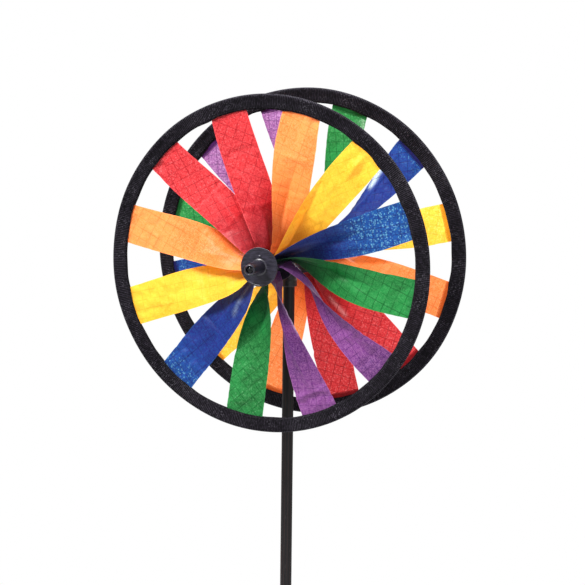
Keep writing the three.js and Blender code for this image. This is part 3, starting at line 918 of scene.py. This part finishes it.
def build_hub(wheel):
    """Spool, nose, axle cap and spacer of one wheel. Outlines are (radius, place along the axle)."""
    centre = (0, WHEEL_Y[wheel], AXLE_Z)
    outward = OUTWARD[wheel]
    body = f"{wheel}_wheel"
    barrel = 7 * MM
    face = HUB_HALF + FLANGE_THICKNESS
    tip = face + NOSE_LENGTH

    spool = rounded([
        (AXLE_BORE, -face), (FLANGE_RADIUS, -face), (FLANGE_RADIUS, -HUB_HALF), (barrel, -HUB_HALF),
        (barrel, HUB_HALF - 0.3 * MM), (4.85 * MM, HUB_HALF - 0.3 * MM), (4.85 * MM, HUB_HALF - 12.3 * MM),
        (AXLE_BORE, HUB_HALF - 12.3 * MM),
    ], 0.35 * MM)
    obj = turned(f"plastic_{wheel}_hub_spool", spool, HUB, centre, "Y", outward)
    mount(obj, body, "hub_plastic", f"{wheel}_hub_spool")

    nose = rounded([
        (AXLE_BORE, HUB_HALF - 12 * MM), (4.6 * MM, HUB_HALF - 12 * MM), (4.6 * MM, HUB_HALF),
        (FLANGE_RADIUS, HUB_HALF), (FLANGE_RADIUS, face + 0.25 * MM),
        (FLANGE_RADIUS - 1.1 * MM, face + 0.25 * MM), (FLANGE_RADIUS - 1.5 * MM, face), (7.4 * MM, face),
        (6.2 * MM, face + 0.9 * MM), (5.5 * MM, tip - 3 * MM), (5.1 * MM, tip - 0.9 * MM), (4.3 * MM, tip),
        (3.5 * MM, tip), (3.5 * MM, tip - 6.5 * MM), (AXLE_BORE, tip - 6.5 * MM),
    ], 0.4 * MM)
    obj = turned(f"plastic_{wheel}_hub_nose", nose, HUB, centre, "Y", outward)
    pip_centre = (0.6 * MM, WHEEL_Y[wheel] + outward * face, AXLE_Z + 9.6 * MM)
    pip = [
        (0, -0.3 * MM), (1.5 * MM, -0.3 * MM), (1.45 * MM, 0.25 * MM), (1.0 * MM, 0.75 * MM),
        (0.45 * MM, 0.95 * MM), (0, 1.0 * MM),
    ]
    bump = turned("pip", pip, HUB, pip_centre, "Y", outward, closed=False, segments=32)
    obj = joined(f"plastic_{wheel}_hub_nose", [obj, bump])
    mount(obj, body, "hub_plastic", f"{wheel}_hub_nose")

    seat = tip - 6.2 * MM
    cap = rounded([
        (0, seat + 3 * MM), (AXLE_BORE, seat + 3 * MM), (AXLE_BORE, seat), (3.2 * MM, seat),
        (3.2 * MM, tip - 1.5 * MM), (2.2 * MM, tip - 1.0 * MM), (1.9 * MM, tip - 0.5 * MM),
        (0, tip - 0.25 * MM),
    ], 0.3 * MM, closed=False)
    obj = turned(f"plastic_{wheel}_axle_cap", cap, CAP, centre, "Y", outward, closed=False)
    mount(obj, "head", "cap_plastic", f"{wheel}_axle_cap")

    node = f"{wheel}_spacer_washer"
    low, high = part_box(node)
    half = (high.y - low.y) / 2
    washer = rounded([(AXLE_BORE, -half), (6 * MM, -half), (6 * MM, half), (AXLE_BORE, half)], 0.25 * MM)
    obj = turned(f"plastic_{wheel}_spacer", washer, NYLON, middle(node), "Y", segments=64)
    mount(obj, "head", "nylon", node)


# ---- tee, pole and stake

def build_tee():
    """A barrel for the axle and a socket for the pole, moulded in one, with a bore for the pole's end."""
    low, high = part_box("tee_fitting")
    half = (high.y - low.y) / 2
    foot = low.z - AXLE_Z
    bore = POLE_RADIUS + 0.25 * MM
    barrel = rounded([
        (AXLE_BORE, -half), (7.4 * MM, -half), (7.4 * MM, -half + 3 * MM), (6.9 * MM, -half + 3.6 * MM),
        (6.9 * MM, half - 3.6 * MM), (7.4 * MM, half - 3 * MM), (7.4 * MM, half), (AXLE_BORE, half),
    ], 0.4 * MM)
    socket = rounded([
        (bore, foot), (7.3 * MM, foot), (7.3 * MM, foot + 6 * MM), (6.8 * MM, foot + 6.6 * MM),
        (6.8 * MM, -3.5 * MM), (3.2 * MM, -3.5 * MM), (3.2 * MM, -SOCKET_ROOF), (bore, -SOCKET_ROOF),
    ], 0.3 * MM)
    parts = [
        turned("tee_barrel", barrel, SHADED_TEE, (0, 0, AXLE_Z), "Y"),
        turned("tee_socket", socket, SHADED_TEE, (0, 0, AXLE_Z)),
    ]
    for part in parts:
        part.modifiers.clear()
    obj = joined("plastic_tee_fitting", parts)
    fused(obj, 0.4 * MM, 5)
    room = [(0, foot - 1 * MM), (bore, foot - 1 * MM), (bore, -SOCKET_ROOF), (0, -SOCKET_ROOF)]
    drilled(obj, turned("pole_room", room, SHADED_TEE, (0, 0, AXLE_Z), closed=False))
    mount(obj, "head", "hub_plastic", "tee_fitting")


def build_pole():
    """Two tubes and the sleeve that joins them. Outlines are (radius, z)."""
    inner = POLE_RADIUS - 1.5 * MM
    joint, top = (corner.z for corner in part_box("upper_pole"))
    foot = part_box("lower_pole")[0].z
    for node, low, high in (("upper_pole", joint, top), ("lower_pole", foot, joint - 0.6 * MM)):
        outline = rounded([(inner, low), (POLE_RADIUS, low), (POLE_RADIUS, high), (inner, high)], 0.3 * MM)
        mount(turned(f"satin_{node}", outline, POLE), "pole_set", "pole_black", node)
    low, high = (corner.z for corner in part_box("pole_ferrule"))
    bore = POLE_RADIUS + 0.25 * MM
    outline = rounded([
        (bore, low), (bore + 1.0 * MM, low), (bore + 1.2 * MM, low + 2.4 * MM),
        (bore + 0.9 * MM, low + 3 * MM), (bore + 0.9 * MM, high - 3 * MM), (bore + 1.2 * MM, high - 2.4 * MM),
        (bore + 1.0 * MM, high), (bore, high),
    ], 0.3 * MM)
    mount(turned("plastic_pole_ferrule", outline, HUB), "pole_set", "hub_plastic", "pole_ferrule")


def plate(name, half_width, thickness, top, shoulder, tip):
    """One tapered plate of the spike, in the XZ plane."""
    outline = [
        (-half_width, top), (-half_width, shoulder), (-1 * MM, tip), (1 * MM, tip), (half_width, shoulder),
        (half_width, top),
    ]
    count = len(outline)
    vertices = [(x, y, z) for y in (-thickness / 2, thickness / 2) for x, z in outline]
    faces = [list(range(count))[::-1], list(range(count, 2 * count))]
    for k in range(count):
        n = (k + 1) % count
        faces.append((k, n, n + count, k + count))
    obj = piece(name, vertices, faces, STAKE)
    face_out(obj)
    return obj


def build_stake():
    """A flanged socket for the pole on a spike of two crossed plates."""
    low, high = (corner.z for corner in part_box("ground_stake"))
    bore = POLE_RADIUS + 0.45 * MM
    top = high - GROUND
    body = rounded([
        (0, 0.2 * MM), (16.9 * MM, 0.2 * MM), (16.9 * MM, 2.8 * MM), (9.2 * MM, 4.8 * MM), (7.9 * MM, 8 * MM),
        (7.5 * MM, top - 6 * MM), (7.5 * MM, top), (bore, top), (bore, 4.9 * MM), (0, 4.9 * MM),
    ], 0.6 * MM, closed=False)
    parts = [turned("stake_socket", body, STAKE, (0, 0, GROUND), closed=False)]
    parts[0].modifiers.clear()
    for quarter in range(2):
        rib = plate(f"stake_rib_{quarter}", 9.4 * MM, 3 * MM, GROUND + 1 * MM, low + 45 * MM, low)
        rib.data.transform(Matrix.Rotation(math.pi / 2 * quarter, 4, "Z"))
        parts.append(rib)
    obj = joined("plastic_ground_stake", parts)
    fused(obj, 0.6 * MM, 4)
    mount(obj, "pole_set", "stake_plastic", "ground_stake")


# ---- assembly

def paint_kept_nodes():
    """The CAD nodes that show as they are, inside the other pieces, get their materials."""
    kept = {"pole_plug": NYLON, "axle_rod": STEEL}
    for wheel in WHEELS:
        kept[f"{wheel}_hoop_wire"] = STEEL
        kept[f"{wheel}_hoop_sleeve"] = STEEL
    for node, material in kept.items():
        for slot_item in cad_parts[node].material_slots:
            slot_item.material = material


# ---- stage

def build_world():
    """A white backdrop for the camera, and a soft fill that is stronger from above for everything else."""
    scene = bpy.context.scene
    scene.view_settings.view_transform = "Standard"
    world = bpy.data.worlds.new("studio")
    scene.world = world
    world.use_nodes = True
    tree = world.node_tree
    tree.nodes.clear()
    seen = tree.nodes.new("ShaderNodeLightPath").outputs["Is Camera Ray"]
    backdrop = tree.nodes.new("ShaderNodeBackground")
    fill = tree.nodes.new("ShaderNodeBackground")
    for background in (backdrop, fill):
        background.inputs["Color"].default_value = WHITE
    backdrop.inputs["Strength"].default_value = 1.0
    direction = tree.nodes.new("ShaderNodeSeparateXYZ")
    overhead = tree.nodes.new("ShaderNodeMapRange")
    for key, value in (("From Min", -0.6), ("From Max", 0.6), ("To Min", 0.16), ("To Max", 0.84)):
        overhead.inputs[key].default_value = value
    choose = tree.nodes.new("ShaderNodeMixShader")
    out = tree.nodes.new("ShaderNodeOutputWorld")
    tree.links.new(tree.nodes.new("ShaderNodeTexCoord").outputs["Generated"], direction.inputs[0])
    tree.links.new(direction.outputs["Z"], overhead.inputs["Value"])
    tree.links.new(overhead.outputs[0], fill.inputs["Strength"])
    tree.links.new(seen, choose.inputs[0])
    tree.links.new(fill.outputs[0], choose.inputs[1])
    tree.links.new(backdrop.outputs[0], choose.inputs[2])
    tree.links.new(choose.outputs[0], out.inputs[0])


def build_floor():
    s = Shader("studio_floor")
    pale = s.mix(s.noise(s.position(), 40, 3), rgb(196, 196, 197), rgb(204, 204, 204))
    material = s.finish(s.principled(Base_Color=pale, Roughness=0.8))
    steps = 96
    radius = 1.5
    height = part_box("ground_stake")[0].z - 1 * MM
    turns = [2 * math.pi * k / steps for k in range(steps)]
    ring = [(radius * math.cos(turn), radius * math.sin(turn), height) for turn in turns]
    piece("studio_floor", ring, [list(range(steps))], material, smooth=False)


def build_lights():
    hub = Vector((0, 0, AXLE_Z))
    for name, place, size, power in (
        ("key", (-0.9, -1.5, 2.1), 0.8, 190),
        ("side", (1.6, -1.6, 0.2), 1.4, 10),
        ("back", (0.2, 1.8, 0.9), 1.6, 40),
    ):
        data = bpy.data.lights.new(name, "AREA")
        data.size = size
        data.energy = power
        lamp = bpy.data.objects.new(name, data)
        bpy.context.scene.collection.objects.link(lamp)
        lamp.location = hub + Vector(place)
        lamp.rotation_euler = (hub - lamp.location).to_track_quat("-Z", "Y").to_euler()


def build_camera():
    """The photograph's view, from the front right and a little above. Distances are in wheel radii."""
    azimuth, elevation, roll = (math.radians(a) for a in (21.1, 7.9, 0.64))
    wheel = 152.5 * MM
    aim_right, aim_down, distance = 0.019, 0.208, 16
    level = math.cos(elevation)
    back = Vector((math.sin(azimuth) * level, -math.cos(azimuth) * level, math.sin(elevation)))
    right = Vector((math.cos(azimuth), math.sin(azimuth), 0))
    up = back.cross(right)
    tilted_right = right * math.cos(roll) + up * math.sin(roll)
    tilted_up = up * math.cos(roll) - right * math.sin(roll)
    place = Vector((0, 0, AXLE_Z)) + tilted_right * aim_right * wheel - tilted_up * aim_down * wheel
    place += back * (distance * wheel)
    data = bpy.data.cameras.new("camera")
    data.sensor_width = 36
    data.lens = 164.6
    data.clip_start, data.clip_end = 0.05, 100
    camera = bpy.data.objects.new("camera", data)
    bpy.context.scene.collection.objects.link(camera)
    axes = Matrix((tilted_right, tilted_up, back)).transposed().to_4x4()
    camera.matrix_world = Matrix.Translation(place) @ axes
    bpy.context.scene.camera = camera


build_blades()
for wheel_name in WHEELS:
    build_binding(wheel_name)
    build_stitching(wheel_name)
    build_hub(wheel_name)
build_tee()
build_pole()
build_stake()
paint_kept_nodes()
build_world()
build_floor()
build_lights()
build_camera()
